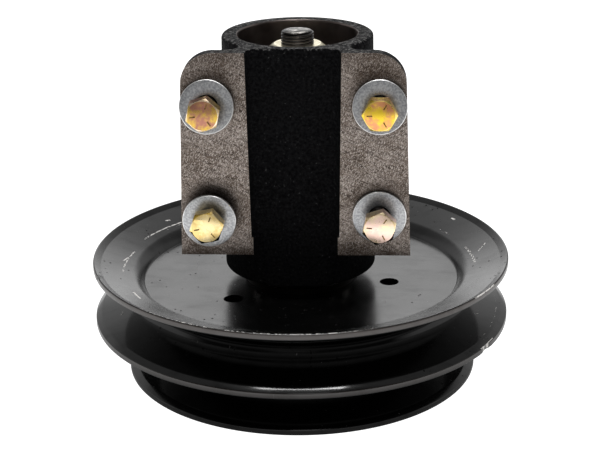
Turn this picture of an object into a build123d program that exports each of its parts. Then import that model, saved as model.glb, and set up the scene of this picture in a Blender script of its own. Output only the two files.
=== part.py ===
"""Jackshaft assembly of a garden machine, in millimetres.

A cast housing with two milled bolting pads holds a keyed shaft on two sealed ball bearings. The shaft
carries two pressed V-belt pulleys on one hub. +Z runs up the shaft, the pads face -Y, and the origin is
on the shaft's axis at the lower pulley's bottom rim.
"""

import os
from math import cos, radians, sin, tan

from build123d import *

INCH = 25.4

# Clearances
seat_gap = 0.03  # radial, between pieces that seat on each other
roll_gap = 0.12  # between a ball and the races and pockets around it
hang_gap = 0.05  # between a hanging washer and its bolt

# Pulleys, each pressed from sheet in two mirrored halves
sheet = 3.0
upper_rim_d = 8.25 * INCH
lower_rim_d = 7.0 * INCH
half_depth = 16.0  # from a pulley's mid-plane to the edge of its rim
nest_gap = 0.95  # between the lower pulley's lip and the upper pulley that it nests in
groove_depth = 25.3  # from the rim in to the edge of the flat web
wall_run = 2.4  # steep wall between the web and the belt cone
wall_rise = 4.5
lip_run = 3.4  # flared lip outside the belt cone
lip_rise = 2.0
web_bend = 2.0
cone_bend = 4.5
lip_bend = 4.0
rim_flat = 0.9  # flat that trimming leaves on the edge of the lip
rim_round = 0.4
web_hole_d = 0.375 * INCH
web_hole_circle_d = 92.4
web_hole_count = 3
web_hole_angle = -13.0

# Hub and the washers that clamp the pulleys to it
hub_seat_d = 44.0
hub_collar_d = 56.0
clamp_washer_t = 2.7
foot_washer_t = 3.0

# Shaft
journal_d = 25.0
shoulder_d = 31.0
shoulder_length = 7.5
thread_d = 0.625 * INCH
thread_relief = 0.5  # thread starts this far below the nut's washer
thread_chamfer = 1.2
thread_end = 6.2  # thread that stands above the nut
shaft_foot_gap = 0.8  # shaft ends this far above the hub's foot
foot_hole_depth = 32.0
key_size = 0.25 * INCH
key_length = 1.0 * INCH
key_rise = 4.0  # from the shaft's foot up to the key

# Ball bearings
bearing_d = 52.0
bearing_width = 15.0
ball_d = 7.94
ball_count = 9
race_land = 2.35  # from the balls' centres to the lands of both rings
cage_wall = 2.7
cage_height = 10.4
seal_t = 1.2
seal_inset = 0.4
seal_lip_gap = 0.25
ring_chamfer = 0.8
spacer_length = 62.9
spacer_wall = 2.6

# Hexagons
hex_face_share = 0.96  # flat face's radius over half the width across flats

# Nut and washer on the top of the shaft
nut_flats = 0.9375 * INCH
nut_height = 13.9
nut_washer_d = 34.0
nut_washer_t = 3.2
nut_washer_gap = 0.25

# Housing
barrel_top_d = 73.4
barrel_bottom_d = 75.6
lower_recess = 2.7  # from the lower bearing down to the housing's foot
nut_pocket_depth = 22.1  # from the upper bearing up to the housing's top
nut_pocket_d = 57.6
pocket_chamfer = 0.8
bearing_shoulder = 2.6
barrel_round = 1.6

# Ears with their milled pads
pad_face = 41.5  # from the shaft's axis
ear_set_in = 3.2  # back of the ears, inside the barrel's front
mill_stock = 3.0  # cast metal that milling the pads takes off
ear_height = 98.9
ear_top_width = 103.8
ear_bottom_width = 109.6
ear_corner_r = 15.0
ear_root_r = 6.0
ear_back_r = 1.5
pad_gap_top = 44.6
pad_gap_bottom = 40.4
pad_step = 0.8  # each pad widens by this at its foot
pad_step_height = 9.0
front_wall_top = 33.4  # front of the barrel between the pads, from the axis
front_wall_bottom = 35.0
front_root_r = 6.0

# Bolts and washers in the pads
bolt_d = 0.375 * INCH
bolt_flats = 0.5625 * INCH
bolt_head = 5.95
bolt_tip_chamfer = 0.95
bolt_length = 1.0 * INCH
bolt_stand_off = 14.5  # from the pad to the underside of the head
bolt_spacing_x = 80.0
bolt_spacing_z = 54.0
bolt_top_drop = 24.0  # from the housing's top to the upper row
bolt_washer_d = 1.0 * INCH
bolt_washer_hole_d = 11.1
bolt_washer_t = 1.8
bolt_turns = {"upper_left": 18.0, "upper_right": 0.0, "lower_left": 11.0, "lower_right": 18.0}
washer_stands = {"upper_left": 3.9, "upper_right": 4.2, "lower_left": 7.9, "lower_right": 1.7}
washer_leans = {"upper_left": 13.0, "upper_right": 13.0, "lower_left": 0.0, "lower_right": 0.0}

# Bolt and lock washer under the shaft
foot_bolt_length = 1.25 * INCH
lock_washer_d = 17.2
lock_washer_t = 2.4
lock_washer_slit = 1.6

# Heights that follow, from the floor up
lower_mid_z = half_depth
cone_start_r = upper_rim_d / 2 - groove_depth + wall_run
cone_slope = (half_depth - lip_rise - sheet - wall_rise) / (groove_depth - wall_run - lip_run)
nested_rise = sheet + wall_rise + max(lower_rim_d / 2 - cone_start_r, 0) * cone_slope
pulley_pitch = half_depth + nested_rise + nest_gap
upper_mid_z = lower_mid_z + pulley_pitch
hub_bottom_z = lower_mid_z - sheet
hub_top_z = upper_mid_z + sheet
shoulder_z = hub_top_z + clamp_washer_t
lower_bearing_z = shoulder_z + shoulder_length
spacer_z = lower_bearing_z + bearing_width
upper_bearing_z = spacer_z + spacer_length
nut_washer_z = upper_bearing_z + bearing_width
nut_z = nut_washer_z + nut_washer_t
thread_z = nut_washer_z - thread_relief
shaft_top_z = nut_z + nut_height + thread_end
shaft_bottom_z = hub_bottom_z + shaft_foot_gap
foot_washer_z = hub_bottom_z - foot_washer_t
lock_washer_z = foot_washer_z - lock_washer_t
housing_bottom_z = lower_bearing_z - lower_recess
housing_top_z = nut_washer_z + nut_pocket_depth
housing_height = housing_top_z - housing_bottom_z
ear_bottom_z = housing_top_z - ear_height
pad_step_z = ear_bottom_z + pad_step_height
upper_bolt_z = housing_top_z - bolt_top_drop
lower_bolt_z = upper_bolt_z - bolt_spacing_z

bolt_places = {
    "upper_left": (-bolt_spacing_x / 2, upper_bolt_z),
    "upper_right": (bolt_spacing_x / 2, upper_bolt_z),
    "lower_left": (-bolt_spacing_x / 2, lower_bolt_z),
    "lower_right": (bolt_spacing_x / 2, lower_bolt_z),
}

os.makedirs("parts", exist_ok=True)


def save(part, label):
    """Name a finished piece and write it out."""
    part.label = label
    export_step(part, f"parts/{label}.step")


def ring(outer_d, inner_d, bottom_z, height):
    """A plain turned ring."""
    with BuildPart() as turned:
        with BuildSketch(Plane.XY.offset(bottom_z)):
            Circle(outer_d / 2)
            Circle(inner_d / 2, mode=Mode.SUBTRACT)
        extrude(amount=height)
    return turned.part


def hexagon_with_cones(flats, height, both_ends):
    """A hexagon standing on Z = 0, its corners turned off at 30 degrees at the top or at both ends."""
    corner_r = flats / 2 / cos(radians(30))
    face_r = flats / 2 * hex_face_share
    drop = (corner_r - face_r) * tan(radians(30))
    with BuildPart() as hexagon:
        with BuildSketch():
            RegularPolygon(flats / 2, 6, major_radius=False)
        extrude(amount=height)
        with BuildSketch(Plane.XZ):
            with BuildLine():
                foot = [(face_r, 0), (corner_r, drop)] if both_ends else [(corner_r, 0)]
                Polyline((0, 0), *foot, (corner_r, height - drop), (face_r, height), (0, height), close=True)
            make_face()
        revolve(axis=Axis.Z, mode=Mode.INTERSECT)
    return hexagon.part


def hex_bolt(length):
    """A hexagon bolt with the underside of its head on Z = 0 and its shank pointing down."""
    with BuildPart() as bolt:
        add(hexagon_with_cones(bolt_flats, bolt_head, both_ends=False))
        with BuildSketch():
            Circle(bolt_d / 2)
        extrude(amount=-length)
        chamfer(bolt.faces().sort_by(Axis.Z)[0].edges(), bolt_tip_chamfer)
    return bolt.part


def pulley_half(rim_d, mid_z, side):
    """One pressed half: flat web, steep wall, belt cone and lip. Side is 1 if it opens upwards, or -1."""
    rim_r = rim_d / 2
    bore_r = hub_seat_d / 2 + seat_gap
    lip_slope = lip_rise / (lip_run - rim_flat)
    skin = [
        (bore_r, sheet),
        (rim_r - groove_depth, sheet),
        (rim_r - groove_depth + wall_run, sheet + wall_rise),
        (rim_r - lip_run, half_depth - lip_rise),
        (rim_r + sheet, half_depth + (rim_flat + sheet) * lip_slope),
    ]
    section_plane = Plane((0, 0, mid_z), x_dir=(1, 0, 0), z_dir=(0, -side, 0))
    with BuildPart() as half:
        with BuildSketch(section_plane) as section:
            with BuildLine():
                FilletPolyline(*skin, radius=[web_bend, cone_bend, lip_bend])
                offset(amount=sheet, side=Side.RIGHT)
            make_face()
            with Locations(((bore_r + rim_r) / 2, half_depth / 2)):
                Rectangle(rim_r - bore_r, half_depth, mode=Mode.INTERSECT)
            fillet(section.vertices().group_by(Axis.X)[-1], rim_round)
        revolve(axis=Axis.Z)
    return half.part


def drilled_web(half, mid_z):
    """The pulley half with its ring of holes drilled through the web."""
    with BuildPart() as drilled:
        add(half)
        with BuildSketch(Plane.XY.offset(mid_z - 2 * sheet)):
            with PolarLocations(web_hole_circle_d / 2, web_hole_count, start_angle=web_hole_angle):
                Circle(web_hole_d / 2)
        extrude(amount=4 * sheet, mode=Mode.SUBTRACT)
    return drilled.part


def raced(blank, pitch_r, mid_z):
    """A bearing ring with the groove for the balls turned in it."""
    with BuildPart() as race:
        add(blank)
        with BuildSketch(Plane.XZ):
            with Locations((pitch_r, mid_z)):
                Circle(ball_d / 2 + roll_gap)
        revolve(axis=Axis.Z, mode=Mode.SUBTRACT)
    return race.part


def ball_bearing(name, bottom_z):
    """A sealed deep-groove bearing: two rings, balls, their cage and two seals."""
    mid_z = bottom_z + bearing_width / 2
    pitch_r = (bearing_d + journal_d) / 4 + seat_gap / 2
    outer_land_r = pitch_r + race_land
    inner_land_r = pitch_r - race_land

    outer_blank = ring(bearing_d, 2 * outer_land_r, bottom_z, bearing_width)
    inner_blank = ring(2 * inner_land_r, journal_d + 2 * seat_gap, bottom_z, bearing_width)
    outer_edges = outer_blank.edges().filter_by(GeomType.CIRCLE).group_by(SortBy.RADIUS)[-1]
    inner_edges = inner_blank.edges().filter_by(GeomType.CIRCLE).group_by(SortBy.RADIUS)[0]
    outer_ring = raced(outer_blank.chamfer(ring_chamfer, None, outer_edges), pitch_r, mid_z)
    inner_ring = raced(inner_blank.chamfer(ring_chamfer, None, inner_edges), pitch_r, mid_z)
    save(outer_ring, f"{name}_outer_ring")
    save(inner_ring, f"{name}_inner_ring")

    with BuildPart() as balls:
        with Locations((0, 0, mid_z)):
            with PolarLocations(pitch_r, ball_count):
                Sphere(ball_d / 2)
    save(balls.part, f"{name}_balls")

    with BuildPart() as cage:
        add(ring(2 * pitch_r + cage_wall, 2 * pitch_r - cage_wall, mid_z - cage_height / 2, cage_height))
        with Locations((0, 0, mid_z)):
            with PolarLocations(pitch_r, ball_count):
                Cylinder(ball_d / 2 + roll_gap, ball_d, rotation=(0, 90, 0), mode=Mode.SUBTRACT)
    save(cage.part, f"{name}_cage")

    seal_outer_d = 2 * (outer_land_r - seat_gap)
    seal_inner_d = 2 * (inner_land_r + seal_lip_gap)
    top_seal_z = bottom_z + bearing_width - seal_inset - seal_t
    save(ring(seal_outer_d, seal_inner_d, top_seal_z, seal_t), f"{name}_top_seal")
    save(ring(seal_outer_d, seal_inner_d, bottom_z + seal_inset, seal_t), f"{name}_bottom_seal")


# Pulleys
upper_top = pulley_half(upper_rim_d, upper_mid_z, 1)
upper_bottom = pulley_half(upper_rim_d, upper_mid_z, -1)
save(drilled_web(upper_top, upper_mid_z), "upper_pulley_top_half")
save(drilled_web(upper_bottom, upper_mid_z), "upper_pulley_bottom_half")
save(pulley_half(lower_rim_d, lower_mid_z, 1), "lower_pulley_top_half")
save(pulley_half(lower_rim_d, lower_mid_z, -1), "lower_pulley_bottom_half")

# Key between the shaft and the hub, half in each
key_z = shaft_bottom_z + key_rise
key_centre_r = journal_d / 2
key_slot = key_size + 2 * seat_gap
with BuildPart() as drive_key:
    with BuildSketch(Plane.XY.offset(key_z)):
        with Locations((0, key_centre_r)):
            Rectangle(key_size, key_size)
    extrude(amount=key_length)
save(drive_key.part, "drive_key")

# Hub: a collar between the two pulleys, a seat for each, and a keyed bore
with BuildPart() as pulley_hub:
    with BuildSketch(Plane.XZ):
        with BuildLine():
            bore_r = journal_d / 2 + seat_gap
            Polyline(
                (bore_r, hub_bottom_z),
                (hub_seat_d / 2, hub_bottom_z),
                (hub_seat_d / 2, lower_mid_z + sheet),
                (hub_collar_d / 2, lower_mid_z + sheet),
                (hub_collar_d / 2, upper_mid_z - sheet),
                (hub_seat_d / 2, upper_mid_z - sheet),
                (hub_seat_d / 2, hub_top_z),
                (bore_r, hub_top_z),
                close=True,
            )
        make_face()
    revolve(axis=Axis.Z)
    with BuildSketch(Plane.XY.offset(hub_bottom_z)):
        with Locations((0, key_centre_r)):
            Rectangle(key_slot, key_slot)
    extrude(amount=hub_top_z - hub_bottom_z, mode=Mode.SUBTRACT)
save(pulley_hub.part, "pulley_hub")

# Shaft: keyed foot with a tapped end, shoulder, bearing journal and threaded top
with BuildPart() as shaft:
    with BuildSketch(Plane.XZ):
        with BuildLine():
            Polyline(
                (0, shaft_bottom_z),
                (journal_d / 2, shaft_bottom_z),
                (journal_d / 2, shoulder_z),
                (shoulder_d / 2, shoulder_z),
                (shoulder_d / 2, lower_bearing_z),
                (journal_d / 2, lower_bearing_z),
                (journal_d / 2, thread_z),
                (thread_d / 2, thread_z),
                (thread_d / 2, shaft_top_z - thread_chamfer),
                (thread_d / 2 - thread_chamfer, shaft_top_z),
                (0, shaft_top_z),
                close=True,
            )
        make_face()
    revolve(axis=Axis.Z)
    with BuildSketch(Plane.XY.offset(key_z)):
        with Locations((0, key_centre_r)):
            Rectangle(key_slot, key_slot)
    extrude(amount=key_length, mode=Mode.SUBTRACT)
    with BuildSketch(Plane.XY.offset(shaft_bottom_z)):
        Circle(bolt_d / 2 + seat_gap)
    extrude(amount=foot_hole_depth, mode=Mode.SUBTRACT)
save(shaft.part, "shaft")

# Washers that clamp the pulleys to the hub, and the bolt under the shaft
save(ring(hub_collar_d, journal_d + 2 * seat_gap, hub_top_z, clamp_washer_t), "clamp_washer")
foot_washer_hole_d = bolt_d + 2 * nut_washer_gap
save(ring(hub_collar_d, foot_washer_hole_d, foot_washer_z, foot_washer_t), "foot_washer")

with BuildPart() as lock_washer:
    add(ring(lock_washer_d, foot_washer_hole_d, lock_washer_z, lock_washer_t))
    with BuildSketch(Plane.XY.offset(lock_washer_z)):
        with Locations((lock_washer_d / 2, 0)):
            Rectangle(lock_washer_d, lock_washer_slit)
    extrude(amount=lock_washer_t, mode=Mode.SUBTRACT)
save(lock_washer.part, "lock_washer")

with BuildPart() as foot_bolt:
    with Locations(Location((0, 0, lock_washer_z), (180, 0, 0))):
        add(hex_bolt(foot_bolt_length))
save(foot_bolt.part, "foot_bolt")

# Bearings and the spacer between their inner rings
ball_bearing("upper_bearing", upper_bearing_z)
ball_bearing("lower_bearing", lower_bearing_z)
spacer_bore_d = journal_d + 2 * seat_gap
save(ring(spacer_bore_d + 2 * spacer_wall, spacer_bore_d, spacer_z, spacer_length), "bearing_spacer")

# Nut and washer that pull the stack together
save(ring(nut_washer_d, thread_d + 2 * nut_washer_gap, nut_washer_z, nut_washer_t), "nut_washer")
with BuildPart() as top_nut:
    with Locations((0, 0, nut_z)):
        add(hexagon_with_cones(nut_flats, nut_height, both_ends=True))
    with BuildSketch(Plane.XY.offset(nut_z)):
        Circle(thread_d / 2 + seat_gap)
    extrude(amount=nut_height, mode=Mode.SUBTRACT)
save(top_nut.part, "top_nut")

# Housing: drafted barrel, ears with milled pads, the hollow between them, and the stepped bore
bearing_seat_r = bearing_d / 2 + seat_gap
relief_r = bearing_seat_r - bearing_shoulder
barrel_slope = (barrel_bottom_d - barrel_top_d) / 2 / housing_height
barrel_r_at_ears = barrel_top_d / 2 + ear_height * barrel_slope
ear_back_y = ear_set_in - min(barrel_top_d, barrel_bottom_d) / 2
ear_depth = pad_face + mill_stock + ear_back_y
ear_blank_width = max(ear_top_width, ear_bottom_width)


def barrel_and_ears_plan(height, barrel_r):
    """Plan of the barrel and the two ears at one height, rounded where they meet."""
    with BuildSketch(Plane.XY.offset(height)) as plan:
        Circle(barrel_r)
        with Locations((0, ear_back_y - ear_depth / 2)):
            Rectangle(ear_blank_width, ear_depth)
        roots = [v for v in plan.vertices() if abs(v.X) < barrel_r and abs(v.Y - ear_back_y) < seat_gap]
        fillet(roots, ear_root_r)
    return plan.sketch


def hollow_plan(height, gap, wall):
    """Plan of the hollow between the pads at one height, rounded where it meets the front wall."""
    with BuildSketch(Plane.XY.offset(height)) as plan:
        with Locations((0, -wall - pad_face / 2)):
            Rectangle(gap, pad_face)
        fillet(plan.vertices().group_by(Axis.Y)[-1], front_root_r)
    return plan.sketch


with BuildPart() as housing:
    loft([
        barrel_and_ears_plan(ear_bottom_z, barrel_r_at_ears),
        barrel_and_ears_plan(housing_top_z, barrel_top_d / 2),
    ])
    with BuildSketch(Plane.XZ.offset(-pad_face)) as front:
        with BuildLine():
            Polyline(
                (-ear_bottom_width / 2, ear_bottom_z),
                (ear_bottom_width / 2, ear_bottom_z),
                (ear_top_width / 2, housing_top_z),
                (-ear_top_width / 2, housing_top_z),
                close=True,
            )
        make_face()
        fillet(front.vertices().group_by(Axis.Y)[-1], ear_corner_r)
    extrude(amount=2 * pad_face + mill_stock, mode=Mode.INTERSECT)
    back_edges = housing.edges().filter_by_position(Axis.Y, ear_back_y - seat_gap, ear_back_y + seat_gap)
    fillet(back_edges.sort_by(lambda edge: abs(edge.center().X))[-2:], ear_back_r)
    with BuildSketch(Plane.XZ):
        with BuildLine():
            Polyline(
                (0, housing_bottom_z),
                (barrel_bottom_d / 2, housing_bottom_z),
                (barrel_r_at_ears, ear_bottom_z),
                (0, ear_bottom_z),
                close=True,
            )
        make_face()
    revolve(axis=Axis.Z)
    fillet(housing.edges().group_by(Axis.Z)[0], barrel_round)
    hollow_gap_at_step = pad_gap_bottom + 2 * pad_step
    loft([
        hollow_plan(pad_step_z, hollow_gap_at_step, front_wall_bottom),
        hollow_plan(housing_top_z, pad_gap_top, front_wall_top),
    ], mode=Mode.SUBTRACT)
    add(hollow_plan(housing_bottom_z, pad_gap_bottom, front_wall_bottom))
    extrude(amount=pad_step_z - housing_bottom_z, mode=Mode.SUBTRACT)
    with BuildSketch(Plane.XZ.offset(pad_face)):
        with Locations((0, ear_bottom_z + ear_height / 2)):
            Rectangle(ear_bottom_width, ear_height)
    extrude(amount=mill_stock, mode=Mode.SUBTRACT)
    with BuildSketch(Plane.XZ):
        with BuildLine():
            Polyline(
                (0, housing_bottom_z),
                (bearing_seat_r, housing_bottom_z),
                (bearing_seat_r, spacer_z),
                (relief_r, spacer_z),
                (relief_r, upper_bearing_z),
                (bearing_seat_r, upper_bearing_z),
                (bearing_seat_r, nut_washer_z),
                (nut_pocket_d / 2, nut_washer_z),
                (nut_pocket_d / 2, housing_top_z - pocket_chamfer),
                (nut_pocket_d / 2 + pocket_chamfer, housing_top_z),
                (0, housing_top_z),
                close=True,
            )
        make_face()
    revolve(axis=Axis.Z, mode=Mode.SUBTRACT)
    with BuildSketch(Plane.XZ.offset(pad_face)):
        with Locations(*bolt_places.values()):
            Circle(bolt_d / 2 + seat_gap)
    extrude(amount=-ear_depth, mode=Mode.SUBTRACT)
save(housing.part, "housing")

# Bolts screwed part of the way into the pads, each with a loose washer hanging on its shank
with BuildPart() as mount_bolts:
    for corner, (x, z) in bolt_places.items():
        head_plane = Plane((x, -pad_face - bolt_stand_off, z), x_dir=(1, 0, 0), z_dir=(0, -1, 0))
        with Locations(head_plane.location * Location((0, 0, 0), (0, 0, bolt_turns[corner]))):
            add(hex_bolt(bolt_length))
save(mount_bolts.part, "mount_bolts")

with BuildPart() as mount_washers:
    for corner, (x, z) in bolt_places.items():
        lean = radians(washer_leans[corner])
        stand = pad_face + washer_stands[corner]
        hole_top = bolt_washer_hole_d / 2 * cos(lean) - bolt_washer_t / 2 * sin(lean)
        drop = hole_top - bolt_d / 2 - hang_gap
        washer_plane = Plane((x, -stand, z - drop), x_dir=(1, 0, 0), z_dir=(0, -cos(lean), sin(lean)))
        with Locations(washer_plane.location):
            add(ring(bolt_washer_d, bolt_washer_hole_d, -bolt_washer_t / 2, bolt_washer_t))
save(mount_washers.part, "mount_washers")
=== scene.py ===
"""Looks of a jackshaft assembly: cast housing, pressed pulleys, and loose bolts on milled pads.

An add-on with an operator for each group of pieces and one for the stage. As a script, it makes them all.
"""

from math import atan2, cos, pi, radians, sin, tan

import bmesh
import bpy
from bpy.props import FloatProperty, FloatVectorProperty, IntProperty, PointerProperty
from mathutils import Matrix, Vector


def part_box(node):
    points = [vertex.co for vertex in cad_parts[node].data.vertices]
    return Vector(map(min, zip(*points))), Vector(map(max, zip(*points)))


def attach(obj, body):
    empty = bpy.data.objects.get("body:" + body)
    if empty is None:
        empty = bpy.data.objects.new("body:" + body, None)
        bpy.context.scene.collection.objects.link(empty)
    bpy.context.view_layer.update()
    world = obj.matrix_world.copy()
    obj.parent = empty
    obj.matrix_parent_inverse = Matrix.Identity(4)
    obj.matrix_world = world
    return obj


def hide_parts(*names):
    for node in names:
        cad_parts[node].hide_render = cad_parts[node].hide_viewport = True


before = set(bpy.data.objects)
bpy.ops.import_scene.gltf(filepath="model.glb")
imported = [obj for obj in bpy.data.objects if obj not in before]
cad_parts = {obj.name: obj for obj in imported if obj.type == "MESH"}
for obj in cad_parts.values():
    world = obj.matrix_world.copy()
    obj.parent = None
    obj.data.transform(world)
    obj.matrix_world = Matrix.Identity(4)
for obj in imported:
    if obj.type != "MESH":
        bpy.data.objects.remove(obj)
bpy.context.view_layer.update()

bl_info = {
    "name": "Jackshaft Assembly",
    "version": (1, 0, 0),
    "blender": (4, 5, 0),
    "location": "View3D > Sidebar > Jackshaft",
    "description": "Dresses the jackshaft assembly and lights it",
    "category": "Add Mesh",
}

MM = 0.001
# Slack when places are compared, and the gap over which seams are merged
NEAR = 0.01 * MM
MERGED = 0.001 * MM
AXIS = Vector((0, 0, 1))
# Stretch that makes lathe rings of a grain, which is drawn as coarse as it needs to show
RINGS = (0.02, 0.02, 1)
# Shares of a thread's pitch: its depth, and how far down its crests get a lighter finish, for wiped oil and a
# painted highlight
THREAD_DEPTH = 0.58
CREST_LIGHTENED = 0.1
# How bright the table and the tent look to the camera
BACKDROP = 1.25

# Scratches in the enamel, from one end to the other: degrees round from the front and mm from the shaft,
# then mm wide, then the share of the paint that is gone
DISH_SCRATCHES = (
    ((-132, 88.5), (-109, 89.5), 0.45, 0.52),
    ((-129, 87.0), (-121, 87.6), 0.5, 0.35),
    ((-127, 93.0), (-125, 93.5), 0.7, 0.5),
    ((-98, 88.0), (-79, 90.0), 0.45, 0.5),
    ((-92, 89.0), (-88, 90.6), 0.4, 0.6),
    ((-61, 90.3), (-55, 90.6), 0.7, 0.9),
    ((89, 88.2), (105, 87.6), 0.8, 0.44),
    ((98, 91.5), (102, 97.0), 0.35, 0.5),
    ((124, 97.3), (126, 97.3), 0.7, 0.5),
    ((116, 87.0), (126, 87.0), 0.6, 0.36),
)
GROOVE_SCRATCHES = (
    ((-74, 91.5), (-71.5, 93.0), 0.5, 0.5),
    ((73.5, 91.0), (75, 92.5), 0.5, 0.5),
    ((75.5, 90.5), (77, 92.0), 0.5, 0.5),
    ((64, 100.5), (94, 99.0), 0.35, 0.38),
    ((58, 104.4), (66, 104.2), 0.22, 0.8),
)


def linear(colour):
    """Linear RGBA of an sRGB colour written in hex."""
    parts = [int(colour[i:i + 2], 16) / 255 for i in (1, 3, 5)]
    return (*(p / 12.92 if p <= 0.04045 else ((p + 0.055) / 1.055) ** 2.4 for p in parts), 1.0)


def length(label, text, millimetres):
    """A size that the user can change."""
    return FloatProperty(
        name=label, description=text, default=millimetres * MM, min=0, precision=4, unit="LENGTH"
    )


def tint(label, text, colour):
    """A colour that the user can change."""
    return FloatVectorProperty(
        name=label, description=text, default=linear(colour), size=4, min=0, max=1, subtype="COLOR"
    )


class JackshaftSizes(bpy.types.PropertyGroup):
    """Sizes that the CAD's boxes don't give."""

    sheet: length("Sheet", "Thickness of the pressed sheet", 3.0)
    groove_depth: length("Groove depth", "From the rim in to the edge of the flat web", 25.3)
    wall_run: length("Wall run", "Width of the steep wall beside the web", 2.4)
    wall_rise: length("Wall rise", "Height of the steep wall beside the web", 4.5)
    lip_run: length("Lip run", "Width of the flared lip", 3.9)
    lip_rise: length("Lip rise", "Height of the flared lip", 2.0)
    lip_set: length("Lip set", "How far in the groove's crease lies from the lip's own", 0.5)
    rim_flat: length("Rim flat", "Flat that trimming leaves on the lip", 0.9)
    rim_round: length("Rim round", "Round of the trimmed edge", 0.7)
    burr_round: length("Burr round", "Round of the inner corner of the trimmed edge", 0.3)
    web_bend: length("Web bend", "Inner radius at the edge of the web", 1.2)
    cone_bend: length("Cone bend", "Outer radius between wall and cone", 9.0)
    lip_bend: length("Lip bend", "Inner radius at the lip", 0.8)
    hub_seat: length("Hub seat", "Diameter of the hole in the webs", 44.06)
    hole: length("Web hole", "Diameter of the holes in the upper web", 9.525)
    hole_circle: length("Hole circle", "Diameter of the circle of holes", 92.4)
    shaft_thread: length("Shaft thread", "Outer diameter of the shaft's thread", 15.875)
    shaft_pitch: length("Shaft pitch", "Pitch of the shaft's thread", 1.4111)
    thread_shown: length("Thread shown", "Length of thread cut below the shaft's end", 10.0)
    thread_chamfer: length("Thread chamfer", "Chamfer of the shaft's end", 0.8)
    bolt_thread: length("Bolt thread", "Outer diameter of the bolts", 9.525)
    bolt_pitch: length("Bolt pitch", "Pitch of the bolts' thread", 1.5875)
    bolt_head: length("Bolt head", "Height of a bolt's head", 5.95)
    bolt_across: length("Bolt spacing across", "From bolt to bolt across the pads", 80.0)
    bolt_along: length("Bolt spacing along", "From bolt to bolt along the shaft", 54.0)
    dash_length: length("Dash length", "Length of a grade dash", 2.5)
    dash_width: length("Dash width", "Width of a grade dash", 0.55)
    dash_height: length("Dash height", "Height of a grade dash", 0.16)
    bore: length("Nut pocket", "Diameter of the machined pocket round the nut", 57.6)
    edge: length("Worn edge", "Round on stamped and milled edges", 0.35)
    cast_round: length("Cast round", "Round on the top edges of the casting", 0.8)
    dent: length("Dent", "Depth of the dents in the rims", 1.0)
    hole_angle: FloatProperty(
        name="Hole angle", description="Turn of the first web hole", default=radians(-13), subtype="ANGLE"
    )
    segments: IntProperty(name="Segments", description="Steps round a turned piece", default=320, min=24)


class JackshaftColours(bpy.types.PropertyGroup):
    """Colours of the finishes."""

    enamel: tint("Enamel", "Gloss paint of the pulleys", "#030303")
    casting: tint("Casting paint", "Satin paint of the casting", "#19191A")
    milled: tint("Milled iron", "Bare pads of the casting", "#857B74")
    bored: tint("Bored iron", "Bores of the casting", "#7A706C")
    oil: tint("Oil", "Old oil in the shaft's thread", "#1C1A18")
    steel: tint("Steel", "Turned and ground steel", "#B9B6B1")
    zinc: tint("Plain zinc", "Plating of the washers", "#BCBDBE")
    yellow_zinc: tint("Yellow zinc", "Yellow passivated plating of the bolts", "#EBC83E")
    rose_zinc: tint("Rose zinc", "Rose tint of the yellow plating", "#A67462")
    pale_zinc: tint("Pale zinc", "Plating of the nut", "#EFE8D0")
    rubber: tint("Seal rubber", "Seals of the bearings", "#1B1A19")
    floor: tint("Floor", "Table under the part", "#FFFFFF")


def add_node(tree, kind, *inputs, to=None, **settings):
    """Add a node with its settings, set or link its inputs in order, but for None, and pass its output on."""
    node = tree.nodes.new("ShaderNode" + kind)
    for name, value in settings.items():
        setattr(node, name, value)
    sockets = [socket for socket in node.inputs if socket.enabled]
    for socket, value in zip(sockets, inputs):
        if isinstance(value, bpy.types.NodeSocket):
            tree.links.new(value, socket)
        elif value is not None:
            socket.default_value = value
    output = next(socket for socket in node.outputs if socket.enabled)
    if to is not None:
        tree.links.new(output, to)
    return output


def new_material(name, **values):
    """A material with its shader's own values set, its tree, its shader, and its Object coordinates."""
    material = bpy.data.materials.new(name)
    material.use_nodes = True
    tree = material.node_tree
    shader = tree.nodes["Principled BSDF"].inputs
    for socket, value in values.items():
        shader[socket.replace("_", " ")].default_value = value
    place = add_node(tree, "TexCoord").node.outputs["Object"]
    return material, tree, shader, place


def polar(tree, place):
    """Angle round the shaft, from the front, distance from it and height, of the place being shaded."""
    x, y, z = add_node(tree, "SeparateXYZ", place).node.outputs
    back = add_node(tree, "Math", y, -1.0, operation="MULTIPLY")
    angle = add_node(tree, "Math", x, back, operation="ARCTAN2")
    across = add_node(tree, "Math", x, x, operation="MULTIPLY")
    along = add_node(tree, "Math", y, y, operation="MULTIPLY")
    spread = add_node(tree, "Math", across, along, operation="ADD")
    distance = add_node(tree, "Math", spread, operation="SQRT")
    return angle, distance, z


def scratched(tree, around, distance, rim_r, strokes):
    """Mask of broken scratches, each a straight stroke on the unrolled pulley."""
    flat = add_node(tree, "CombineXYZ", around, distance)
    drawn_out = add_node(tree, "Mapping", flat, None, None, (0.5, 1, 1))
    breaks = add_node(tree, "TexNoise", drawn_out, 1 / (1.1 * MM), 2.0, 0.6)
    fade = 0.5 * MM
    mask = 0.0
    for (start_angle, start_r), (end_angle, end_r), width, gone in strokes:
        start = Vector((radians(start_angle) * rim_r, start_r * MM, 0))
        run = Vector((radians(end_angle) * rim_r, end_r * MM, 0)) - start
        lean = (0, 0, atan2(run.y, run.x))
        stroke = add_node(tree, "Mapping", flat, start, lean, vector_type="TEXTURE")
        along, beside_it, _ = add_node(tree, "SeparateXYZ", stroke).node.outputs
        off = add_node(tree, "Math", beside_it, operation="ABSOLUTE")
        line = add_node(tree, "MapRange", off, width * 0.4 * MM, width * MM, 1.0, 0.0)
        begun = add_node(tree, "MapRange", along, 0.0, fade)
        going = add_node(tree, "MapRange", along, run.length - fade, run.length, 1.0, 0.0)
        flaked = add_node(tree, "MapRange", breaks, 0.94 - gone, 1.04 - gone)
        for share in (begun, going, flaked):
            line = add_node(tree, "Math", line, share, operation="MULTIPLY")
        mask = add_node(tree, "Math", mask, line, operation="MAXIMUM")
    return mask


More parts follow.
